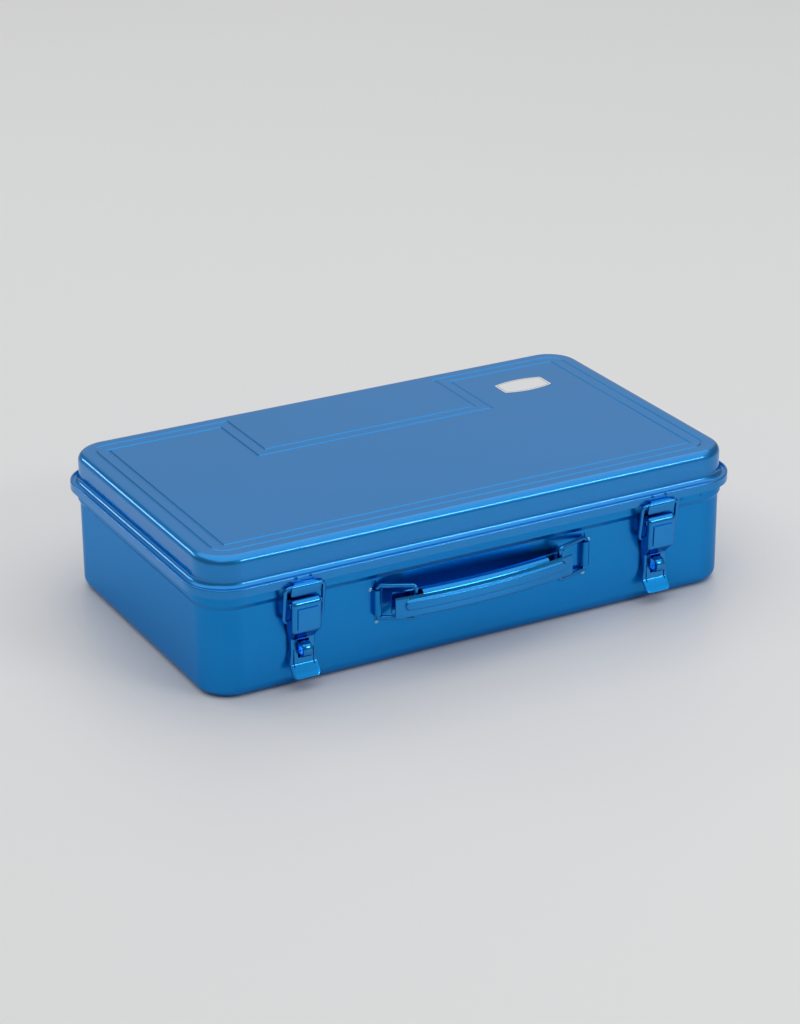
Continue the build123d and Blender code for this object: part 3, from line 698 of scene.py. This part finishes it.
@dataclass
class Lever:
    """Pressed latch lever: crowned top, raised panel, rounded flanges, neck with slots, flared tab."""

    side: Side
    sizes: LeverSizes = LeverSizes()
    crown_rows: int = 12
    flange_columns: int = 5
    corner_columns: int = 4
    slot_column: int = 1
    slit_column: int = 3
    more_drops: tuple[float, ...] = (0.004, 0.008, 0.032)
    tip_shares: tuple[float, ...] = (1.0, 0.72, 0.47, 0.27, 0.12, 0.03)
    smooth_angle: float = 34.0
    edge: float = 0.00012

    def build(self) -> bpy.types.Object:
        """Build the lever as one sheet with an outer and an inner skin.

        Returns:
            The lever, at the origin in the row frame.
        """
        bm = bmesh.new()
        rows = self._crown_rows() + self._front_rows()
        outer = [self._points(bm, row, 0.0) for row in rows]
        inner = [self._points(bm, row, self.sizes.sheet) for row in rows]
        count = len(outer[0])
        fill_sheet(bm, outer, inner, is_cut=lambda i, j: self._cut(rows[i], rows[i + 1], j, count))
        bmesh.ops.remove_doubles(bm, verts=bm.verts, dist=MERGE_DISTANCE)
        bmesh.ops.dissolve_degenerate(bm, edges=bm.edges, dist=SHORTEST_EDGE)
        bmesh.ops.recalc_face_normals(bm, faces=bm.faces)
        lever = new_object(f"lever_{self.side.value}", bm, self.smooth_angle)
        soften(lever, self.edge)
        return lever

    def _crown_rows(self) -> list[Row]:
        """Set out the stations round the crown, from its back to just above the pin.

        Returns:
            The stations.
        """
        z, steps = self.sizes, self.crown_rows
        rows = []
        for i in range(steps):
            angle = math.radians(z.crown_turn * (steps - i) / steps)
            face = (math.cos(angle), math.sin(angle))
            rows.append(Row(z.pin_stand + z.crown * face[0], z.pin_height + z.crown * face[1], face,
                            (steps - i) / steps))
        return rows

    def _front_rows(self) -> list[Row]:
        """Set out the stations of the front, from the pin to the tip of the tab.

        Returns:
            The stations.
        """
        z = self.sizes
        top = z.pin_height
        corners = [(z.stand, top), (z.stand - z.pad_lean, top - z.pad_foot),
                   (z.neck_stand, top - z.neck_top), (z.neck_stand, top - z.neck_foot),
                   (z.tab_stand, top - z.tab_drop)]
        path = rounded_path(corners, (z.foot_radius, z.neck_radius, z.tab_radius))
        drops = (z.panel_top, z.panel_top + z.panel_slope, z.panel_foot - z.panel_slope, z.panel_foot,
                 z.slot_top, z.slot_foot, z.crease_top, z.crease_foot, *self.more_drops)
        tip = [top - z.tab_drop + z.tab_corner * share for share in self.tip_shares]
        path = with_heights(path, [top - drop for drop in drops] + tip)
        return [Row(stand, height, face, 0.0) for (stand, height), face in zip(path, facing(path))]

    def _half(self, drop: float) -> float:
        """Find the lever's half width.

        Args:
            drop: distance below the pin.

        Returns:
            The half width, with the tab's rounded corners taken off.
        """
        z = self.sizes
        table = ((0.0, z.half), (-z.pad_foot, z.half), (-z.neck_top, z.neck_half),
                 (-z.neck_foot + z.flare, z.neck_half), (-z.neck_foot, z.tab_half))
        return between(-drop, table) - corner_inset(z.tab_corner, z.tab_drop - drop)

    def _corner(self, drop: float) -> float:
        """Find the radius between the front and the flanges.

        Args:
            drop: distance below the pin.

        Returns:
            The radius.
        """
        z = self.sizes
        return between(-drop, (
            (0.0, z.corner), (-z.pad_foot, z.corner), (-z.neck_top, z.neck_corner),
            (-z.neck_foot + z.corner_fade, z.neck_corner), (-z.neck_foot, z.tab_edge)))

    def _points(self, bm: bmesh.types.BMesh, row: Row, inset: float) -> list[bmesh.types.BMVert]:
        """Make the vertices of one skin across the lever, from its left flange to its right one.

        Args:
            bm: the mesh.
            row: the station.
            inset: depth of the skin below the front.

        Returns:
            The vertices.
        """
        drop = self.sizes.pin_height - row.height
        half, corner = self._half(drop), self._corner(drop)
        small = max(corner - inset, self.sizes.least_corner)
        wide, depth = half - inset, inset + small
        front = self._front(row, half - corner, wide - small, inset)
        arc = self._arc(row, wide - small, small, depth)
        side = self._flange(row, wide, depth, arc[0][1:]) + arc + front
        points = [(-x, stand, height) for x, stand, height in side] + side[-2::-1]
        middle, wall = self.side.along(self.sizes.x), self.sizes.wall
        return [bm.verts.new((middle + x, -wall - stand, height)) for x, stand, height in points]

    def _front(self, row: Row, flat: float, limit: float, inset: float) -> list[Point]:
        """Set out the flat of the front, from its corner to its middle.

        Args:
            row: the station.
            flat: half width of the flat.
            limit: half width that the skin can't pass.
            inset: depth of the skin below the front.

        Returns:
            (across, stand, height) points.
        """
        z = self.sizes
        drop = z.pin_height - row.height
        rise = self._panel(drop) if row.turn == 0.0 else 0.0
        pad = between(-drop, ((0.0, 1.0), (-z.pad_foot, 1.0), (-z.neck_top, 0.0)))
        neck = 1 - pad
        panel_foot = pad * z.panel_half + neck * (z.crease + z.crease_half)
        panel_edge = pad * (z.panel_half - z.panel_slope) + neck * (z.crease - z.crease_half)
        columns = ((flat, 0.0), (min(flat - z.column_gap, panel_foot), 0.0),
                   (min(flat - 2 * z.column_gap, panel_edge), rise),
                   (pad * z.panel_inner + neck * z.slot_half, rise), (0.0, rise))
        return [(min(x, limit), row.stand + row.face[0] * (up - inset),
                 row.height + row.face[1] * (up - inset)) for x, up in columns]

    def _arc(self, row: Row, reach: float, radius: float, depth: float) -> list[Point]:
        """Set out the rounding between a flange and the front.

        Args:
            row: the station.
            reach: half width where the rounding ends in the front.
            radius: the rounding's radius.
            depth: depth of its centre below the front.

        Returns:
            (across, stand, height) points, from the flange.
        """
        points = []
        for k in range(self.corner_columns, 0, -1):
            angle = math.radians(90.0 * k / self.corner_columns)
            deep = depth - radius * math.cos(angle)
            points.append((reach + radius * math.sin(angle), row.stand - row.face[0] * deep,
                           row.height - row.face[1] * deep))
        return points

    def _flange(self, row: Row, wide: float, depth: float, start: Flat) -> list[Point]:
        """Set out a flange, from its free edge to the rounding.

        Args:
            row: the station.
            wide: half width of the skin.
            depth: depth below the front where the flange starts.
            start: (stand, height) where the flange starts.

        Returns:
            (across, stand, height) points.
        """
        z = self.sizes
        drop = z.pin_height - row.height
        ns, nz = row.face
        back = between(-drop, ((0.0, z.flange_stand), (-z.flange_foot, z.flange_stand),
                               (-z.neck_foot, z.neck_stand - z.sheet)))
        blend = between(-drop, ((-z.neck_foot + z.flange_fade, 0.0), (-z.neck_foot, 1.0)))
        end_s = min(back, row.stand - z.sheet) * (1 - blend) + (row.stand - ns * z.sheet) * blend
        end_z = row.height * (1 - blend) + (row.height - nz * z.sheet) * blend
        points = []
        for k in range(self.flange_columns, 0, -1):
            share = k / self.flange_columns
            if row.turn > 0.0:
                spot = self._crown_point(row.turn, share, start)
            elif drop > z.neck_foot:
                deep = depth + (z.sheet - depth) * share
                spot = (row.stand - ns * deep, row.height - nz * deep)
            else:
                spot = (start[0] + (end_s - start[0]) * share, start[1] + (end_z - start[1]) * share)
            points.append((wide, *spot))
        return points

    def _crown_point(self, turn: float, share: float, start: Flat) -> Flat:
        """Find a point of the crown's side disc.

        Args:
            turn: the station's turn round the crown.
            share: 0 where the disc starts, 1 at its free edge.
            start: (stand, height) where the disc starts.

        Returns:
            The (stand, height) point.
        """
        z = self.sizes
        low_s = z.stand + (z.flange_stand - z.stand) * share
        sweep = math.radians(z.crown_turn + (180.0 - z.crown_turn) * share)
        rim_s = z.pin_stand + z.crown * math.cos(sweep)
        rim_z = z.pin_height + z.crown * math.sin(sweep)
        spot_s = low_s + (rim_s - low_s) * turn
        spot_z = z.pin_height + (rim_z - z.pin_height) * turn
        full = math.radians(z.crown_turn)
        first_s = z.stand + (z.pin_stand + z.crown * math.cos(full) - z.stand) * turn
        first_z = z.pin_height + z.crown * math.sin(full) * turn
        return (spot_s + (start[0] - first_s) * (1 - share), spot_z + (start[1] - first_z) * (1 - share))

    def _panel(self, drop: float) -> float:
        """Find the rise of the raised panel.

        Args:
            drop: distance below the pin.

        Returns:
            The rise over the pad.
        """
        z = self.sizes
        inside = min(drop - z.panel_top, z.panel_foot - drop)
        return z.panel_rise * min(1.0, max(0.0, inside / z.panel_slope))

    def _cut(self, row: Row, after: Row, column: int, count: int) -> bool:
        """Tell where the sheet is cut away: the staple's slot and the two slits beside it.

        Args:
            row: the station above.
            after: the station below.
            column: the column to the left.
            count: number of columns.

        Returns:
            True in a slot or a slit.
        """
        z = self.sizes
        drop = z.pin_height - (row.height + after.height) / 2
        middle = (count - 1) // 2
        near = middle - column if column < middle else column - middle + 1
        if near == self.slot_column:
            return z.slot_top < drop < z.slot_foot
        return near == self.slit_column and z.crease_top < drop < z.crease_foot


@dataclass(frozen=True)
class HookSizes:
    """Sizes of the hook that the wire bail carries, in metres."""

    x: float = 0.1196
    wall: float = 0.1007
    half: float = 0.0092
    sheet: float = 0.0009
    bar_stand: float = 0.0074
    bar_height: float = 0.0658
    wire: float = 0.0013
    back: float = 0.0059
    tongue: float = 0.0056
    lean: float = 0.0014
    curl: float = 1.5
    top_corner: float = 0.0026
    foot_corner: float = 0.0012


@dataclass
class Hook:
    """Hook plate bent over the bail's bar: nose on the rim, rounded shoulders, tongue in front."""

    side: Side
    sizes: HookSizes = HookSizes()
    bend: Sequence[int] = range(10, 91, 10)
    tongue_steps: int = 10
    columns: int = 12
    smooth_angle: float = 40.0
    edge: float = 0.0002

    def build(self) -> bpy.types.Object:
        """Build the hook as a bent sheet.

        Returns:
            The hook, at the origin in the row frame.
        """
        bm = bmesh.new()
        front = self._skin(bm, 0.0)
        rear = self._skin(bm, self.sizes.sheet)
        fill_sheet(bm, front, rear)
        bmesh.ops.remove_doubles(bm, verts=bm.verts, dist=MERGE_DISTANCE)
        bmesh.ops.recalc_face_normals(bm, faces=bm.faces)
        hook = new_object(f"hook_{self.side.value}", bm, self.smooth_angle)
        soften(hook, self.edge)
        return hook

    def _path(self) -> tuple[list[Flat], list[Flat]]:
        """Set out the plate's side view, from its nose over the bar to the foot of its tongue.

        Returns:
            The (stand, height) points and the outward normal of each.
        """
        z = self.sizes
        outer = z.wire + z.sheet
        turns = [math.radians(degrees) for degrees in self.bend]
        path = [(z.back, z.bar_height + outer), (z.bar_stand, z.bar_height + outer)]
        path += [(z.bar_stand + outer * math.sin(a), z.bar_height + outer * math.cos(a)) for a in turns]
        for i in range(1, self.tongue_steps + 1):
            share = i / self.tongue_steps
            path.append((z.bar_stand + outer - z.lean * share ** z.curl, z.bar_height - z.tongue * share))
        normals = [(0.0, 1.0)] * 2 + [(math.sin(a), math.cos(a)) for a in turns]
        return path, normals + facing(path)[len(normals):]

    def _skin(self, bm: bmesh.types.BMesh, inset: float) -> list[list[bmesh.types.BMVert]]:
        """Make the vertices of one skin of the plate.

        Args:
            bm: the mesh.
            inset: depth of the skin below the front.

        Returns:
            Rows of vertices, from the nose down.
        """
        z = self.sizes
        middle = self.side.along(z.x)
        skin = []
        for (stand, height), (ns, nz) in zip(*self._path()):
            half = self._half(height)
            skin.append([bm.verts.new((middle + half * (2 * k / self.columns - 1),
                                       -z.wall - stand + ns * inset, height - nz * inset))
                         for k in range(self.columns + 1)])
        return skin

    def _half(self, height: float) -> float:
        """Find the half width: rounded at the shoulders and at the foot of the tongue.

        Args:
            height: the height.

        Returns:
            The half width.
        """
        z = self.sizes
        from_top = z.bar_height + z.wire + z.sheet - height
        from_foot = height - (z.bar_height - z.tongue)
        return z.half - corner_inset(z.top_corner, from_top) - corner_inset(z.foot_corner, from_foot)


@dataclass(frozen=True)
class GripSizes:
    """Sizes of the pressed handle grip, in metres; its middle line rests at place, turned by skew."""

    place: Point = (-0.0044, -0.114505, 0.0416)
    skew: float = 1.938
    length: float = 0.121
    bow: float = 0.005
    height: float = 0.0164
    thick: float = 0.0076
    sheet: float = 0.0009
    top_corner: float = 0.0040
    foot_corner: float = 0.0024
    back_corner: float = 0.0022
    closed: float = 0.086
    chamfer: float = 0.002
    rib_length: float = 0.110
    rib_half: float = 0.0034
    rib_rise: float = 0.00158
    rib_lift: float = 0.0006
    rib_edge: float = 0.0010
    rib_flat: float = 0.72
    rib_crown: float = 0.28


class Spot(NamedTuple):
    """Point of the grip's section; the tilt is 1 where it looks straight up and -1 straight down."""

    forward: float
    up: float
    normal: Flat
    tilt: float


@dataclass
class Grip:
    """Handle grip: a bowed sheet section with a raised rib, open above and below near both ends."""

    sizes: GripSizes = GripSizes()
    rows: int = 132
    arc_steps: int = 6
    face_steps: int = 34
    back_steps: int = 6
    chamfer_shares: tuple[float, ...] = (0.25, 0.5, 0.75, 1.0)
    rib_edge_parts: int = 4
    rib_end_rows: int = 13
    least_step: float = 1e-5
    smooth_angle: float = 40.0
    edge: float = 0.00015
    edge_angle: float = 40.0

    def build(self) -> bpy.types.Object:
        """Build the grip as one sheet, bowed along its length.

        Returns:
            The grip, at the origin in the row frame.
        """
        bm = bmesh.new()
        loop, stops = self._loop(), self._stops()
        skins = [[[bm.verts.new(self._place(x, self._end(x, spot), inset)) for spot in loop]
                  for x in stops] for inset in (0.0, self.sizes.sheet)]
        fill_sheet(bm, *skins, looped=True, is_cut=lambda i, j: self._cut(stops, loop, i, j))
        loose = [vertex for vertex in bm.verts if not vertex.link_faces]
        bmesh.ops.delete(bm, geom=loose, context="VERTS")
        bmesh.ops.remove_doubles(bm, verts=bm.verts, dist=MERGE_DISTANCE)
        bmesh.ops.recalc_face_normals(bm, faces=bm.faces)
        grip = new_object("grip", bm, self.smooth_angle)
        soften(grip, self.edge, self.edge_angle)
        return grip

    def _cut(self, stops: Sequence[float], loop: Sequence[Spot], row: int, column: int) -> bool:
        """Tell where the grip is open: above and below, beyond its closed middle.

        Args:
            stops: places of the sections.
            loop: the section.
            row: the section to the left.
            column: the point before.

        Returns:
            True in an opening.
        """
        middle = (stops[row] + stops[row + 1]) / 2
        tilt = loop[column].tilt + loop[(column + 1) % len(loop)].tilt
        return abs(middle) > self.sizes.closed / 2 and abs(tilt) > 1.0

    def _stops(self) -> list[float]:
        """Set out the places along the grip where it has a section.

        Returns:
            The places, from left to right.
        """
        z = self.sizes
        half = z.length / 2
        marks = {round(-half + z.length * i / self.rows, 7) for i in range(self.rows + 1)}
        for side in (-1, 1):
            marks.add(side * (z.closed / 2))
            marks |= {side * (half - z.chamfer * share) for share in self.chamfer_shares}
            marks |= {side * (z.rib_length / 2 - z.rib_edge * i / self.rib_edge_parts)
                      for i in range(self.rib_end_rows)}
        stops = []
        for mark in sorted(marks):
            if not stops or mark - stops[-1] > self.least_step:
                stops.append(mark)
        return stops

    def _loop(self) -> list[Spot]:
        """Set out the section, from the foot of its front round over the top.

        Returns:
            The section's points.
        """
        z = self.sizes
        half, front = z.height / 2, z.thick / 2
        foot, top = -half + z.foot_corner, half - z.top_corner
        corners = ((front, half, z.top_corner, 0.0), (-front, half, z.back_corner, 90.0),
                   (-front, -half, z.back_corner, 180.0), (front, -half, z.foot_corner, 270.0))
        loop = [Spot(front, foot + (top - foot) * i / self.face_steps, (1.0, 0.0), 0.0)
                for i in range(1, self.face_steps)]
        for forward, up, radius, start in corners:
            middle_f = forward - math.copysign(radius, forward)
            middle_u = up - math.copysign(radius, up)
            for i in range(self.arc_steps + 1):
                angle = math.radians(start + 90.0 * i / self.arc_steps)
                normal = (math.cos(angle), math.sin(angle))
                tilt = normal[1] if i not in (0, self.arc_steps) else round(normal[1])
                loop.append(Spot(middle_f + radius * normal[0], middle_u + radius * normal[1], normal, tilt))
            if start == 90.0:
                loop += [Spot(-front, up - radius - (2 * half - 2 * radius) * i / self.back_steps,
                              (-1.0, 0.0), 0.0) for i in range(1, self.back_steps)]
        return loop

    def _end(self, x: float, spot: Spot) -> Spot:
        """Take the chamfered ends into account.

        Args:
            x: place along the grip.
            spot: point of the full section.

        Returns:
            The point that the chamfer leaves.
        """
        z = self.sizes
        limit = z.height / 2 - max(0.0, z.chamfer - (z.length / 2 - abs(x)))
        return spot._replace(up=max(-limit, min(limit, spot.up)))

    def _rise(self, x: float, up: float) -> float:
        """Find the rise of the rib over the face.

        Args:
            x: place along the grip.
            up: height above the grip's middle.

        Returns:
            The rise.
        """
        z = self.sizes
        straight = z.rib_length / 2 - z.rib_half
        away = math.hypot(max(0.0, abs(x) - straight), up - z.rib_lift)
        share = min(1.0, max(0.0, (z.rib_half - away) / z.rib_edge))
        crown = math.sqrt(max(0.0, 1.0 - (away / z.rib_half) ** 2))
        return z.rib_rise * (z.rib_flat * share * share * (3 - 2 * share) + z.rib_crown * crown)

    def _place(self, x: float, spot: Spot, inset: float) -> Point:
        """Bow and turn a point of a skin into its place.

        Args:
            x: place along the grip.
            spot: point of the section.
            inset: depth of the skin below the outside.

        Returns:
            The point in the row frame.
        """
        z = self.sizes
        forward, up, normal, _ = spot
        if normal[0] > 0.5 and forward > 0:
            forward += self._rise(x, up)
        forward -= normal[0] * inset
        up -= normal[1] * inset
        radius = ((z.length / 2) ** 2 + z.bow ** 2) / (2 * z.bow)
        turn = x / radius
        along = (radius + forward) * math.sin(turn)
        ahead = (radius + forward) * math.cos(turn) - radius
        skew = math.radians(z.skew)
        return (z.place[0] + along * math.cos(skew) + ahead * math.sin(skew),
                z.place[1] + along * math.sin(skew) - ahead * math.cos(skew), z.place[2] + up)


@dataclass
class Dimples:
    """Four small raised marks in the wall, beyond the outer corners of the two handle bridges."""

    x: float = 0.0702
    wall: float = 0.1007
    low: float = 0.0285
    high: float = 0.0496
    high_out: float = 0.0036
    radius: float = 0.0014
    rise: float = 0.0006
    sink: float = 0.0001
    around: int = 28
    rings: int = 16
    smooth_angle: float = 60.0

    def build(self) -> bpy.types.Object:
        """Build the four marks as closed low domes.

        Returns:
            The marks, at the origin in the row frame.
        """
        bm = bmesh.new()
        for side in (-1, 1):
            for x, z in ((side * self.x, self.low), (side * (self.x + self.high_out), self.high)):
                dome = bmesh.ops.create_uvsphere(
                    bm, u_segments=self.around, v_segments=self.rings, radius=1.0)["verts"]
                bmesh.ops.scale(bm, verts=dome, vec=(self.radius, self.rise + self.sink, self.radius))
                bmesh.ops.translate(bm, verts=dome, vec=(x, self.sink - self.wall, z))
        return new_object("bridge_marks", bm, self.smooth_angle)


@dataclass
class Label:
    """Blank barrel-shaped sticker with rounded corners and a thin plain border."""

    x: float = 0.1194
    y: float = 0.0532
    z: float = 0.0885
    half_x: float = 0.017
    half_y: float = 0.0070
    bulge: float = 0.0029
    corner: float = 0.0016
    thick: float = 0.0002
    side_steps: int = 24
    corner_steps: int = 5
    smooth_angle: float = 30.0

    def build(self) -> bpy.types.Object:
        """Build the sticker as one thin plate.

        Returns:
            The sticker, at the origin in the row frame.
        """
        bm = bmesh.new()
        ring = [bm.verts.new((self.x + x, self.y + y, self.z)) for x, y in self._outline()]
        face = bm.faces.new(ring)
        made = bmesh.ops.extrude_face_region(bm, geom=[face])
        raised = [v for v in made["geom"] if isinstance(v, bmesh.types.BMVert)]
        bmesh.ops.translate(bm, verts=raised, vec=(0, 0, self.thick))
        bmesh.ops.recalc_face_normals(bm, faces=bm.faces)
        return new_object("label", bm, self.smooth_angle)

    def _outline(self) -> list[tuple[float, float]]:
        """Set out the outline: bulging long sides, straight ends, rounded corners.

        Returns:
            (x, y) points from the sticker's middle, anticlockwise.
        """
        points = []
        reach = self.half_x - self.corner
        centre = self._edge(reach) - self.corner
        for sx, sy, start in ((1, 1, 0), (-1, 1, 90), (-1, -1, 180), (1, -1, 270)):
            for i in range(self.corner_steps + 1):
                angle = math.radians(start + 90.0 * i / self.corner_steps)
                points.append((sx * reach + self.corner * math.cos(angle),
                               sy * centre + self.corner * math.sin(angle)))
            if start in (0, 180):
                for i in range(1, self.side_steps):
                    x = sx * (reach - 2 * reach * i / self.side_steps)
                    points.append((x, sy * self._edge(x)))
        return points

    def _edge(self, x: float) -> float:
        """Half depth of the sticker at x."""
        return self.half_y + self.bulge * (1.0 - (x / self.half_x) ** 2)


@dataclass
class ToolBox:
    """The whole box: the CAD nodes with their finishes, and the pieces that stand for some of them."""

    frame: dict
    body: Enamel = Enamel("blue_enamel")
    lid: Enamel = Enamel("lid_enamel", coat=0.8)
    fitting: Enamel = Enamel("fitting_enamel", roughness=0.24, coat=0.6, coat_roughness=0.10)
    # Lighter, paler blue on the four bridge marks: a painted glint that stands in for the highlights on
    # them.
    mark: Enamel = Enamel("bridge_mark_glint_paint", colour=(0.2, 0.58, 0.82), roughness=0.3, coat=0.8)
    foil: Foil = Foil("silver_foil", Label.x, Label.y, Label.half_x, Label.half_y, Label.bulge)
    softened: tuple[str, ...] = ("_base", "_staple", "_leaf", "_pin")
    soft_width: float = 0.00016
    soft_angle: float = 38.0

    def build(self) -> None:
        """Dress the CAD nodes, then build and dress every piece in order."""
        finishes = (self.body, self.lid, self.fitting, self.mark, self.foil)
        paints = {finish.name: finish.make() for finish in finishes}
        fitting_paint, foil = paints[self.fitting.name], paints[self.foil.name]
        special = {"lid_label": foil, "lid_shell": paints[self.lid.name],
                   "body_shell": paints[self.body.name]}
        self._dress_nodes(special, fitting_paint)
        for side in Side:
            self._fit_latch(side, fitting_paint)
        self._put(Grip().build(), "grip", "handle_grip", "handle_paint", fitting_paint)
        self._soften_nodes()
        self._mark_bridges(paints[self.mark.name])
        self._put(Label().build(), "lid", "lid_label", "label", foil)

    def _dress_nodes(self, special: dict[str, bpy.types.Material], usual: bpy.types.Material) -> None:
        """Give every CAD node its finish.

        Args:
            special: finishes of the nodes that have one of their own, by the node's name.
            usual: finish of every other node.
        """
        for name, node in self.frame["nodes"].items():
            finish = special.get(name, usual)
            for slot in node.material_slots:
                slot.material = finish
            LOG.info("%s: %s", name, finish.name)

    def _soften_nodes(self) -> None:
        """Round the sharp edges of the small pressed fittings."""
        for name, node in self.frame["nodes"].items():
            if name.endswith(self.softened):
                soften(node, self.soft_width, self.soft_angle, weld=True)

    def _fit_latch(self, side: Side, finish: bpy.types.Material) -> None:
        """Build one latch's lever and hook.

        Args:
            side: the latch's end of the box.
            finish: the finish of both.
        """
        end = side.value
        self._put(Lever(side).build(), f"lever_{end}", f"latch_{end}_lever", "latch_paint", finish)
        self._put(Hook(side).build(), f"bail_{end}", f"latch_{end}_hook", "latch_paint", finish)

    @staticmethod
    def _mark_bridges(finish: bpy.types.Material) -> None:
        """Set the four raised marks beside the handle bridges.

        Args:
            finish: their finish, a lighter blue that paints a glint on each mark.
        """
        marks = Dimples().build()
        marks.data.materials.append(finish)
        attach(marks, "case")
        LOG.info("%s: %d vertices", marks.name, len(marks.data.vertices))

    @staticmethod
    def _put(piece: bpy.types.Object, body: str, node: str, slot: str, finish: bpy.types.Material) -> None:
        """Dress a piece, let it ride on its body and stand for its CAD node.

        Args:
            piece: the piece.
            body: the body that it rides on.
            node: the CAD node that it stands for.
            slot: not used.
            finish: its finish.
        """
        piece.data.materials.append(finish)
        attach(piece, body)
        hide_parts(node)
        LOG.info("%s: %d vertices", piece.name, len(piece.data.vertices))


def main() -> None:
    """Load the frame and build the looks in order."""
    logging.basicConfig(level=logging.INFO, format="%(name)s: %(message)s")
    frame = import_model()
    Studio().build()
    ToolBox(frame).build()


if __name__ == "__main__":
    main()
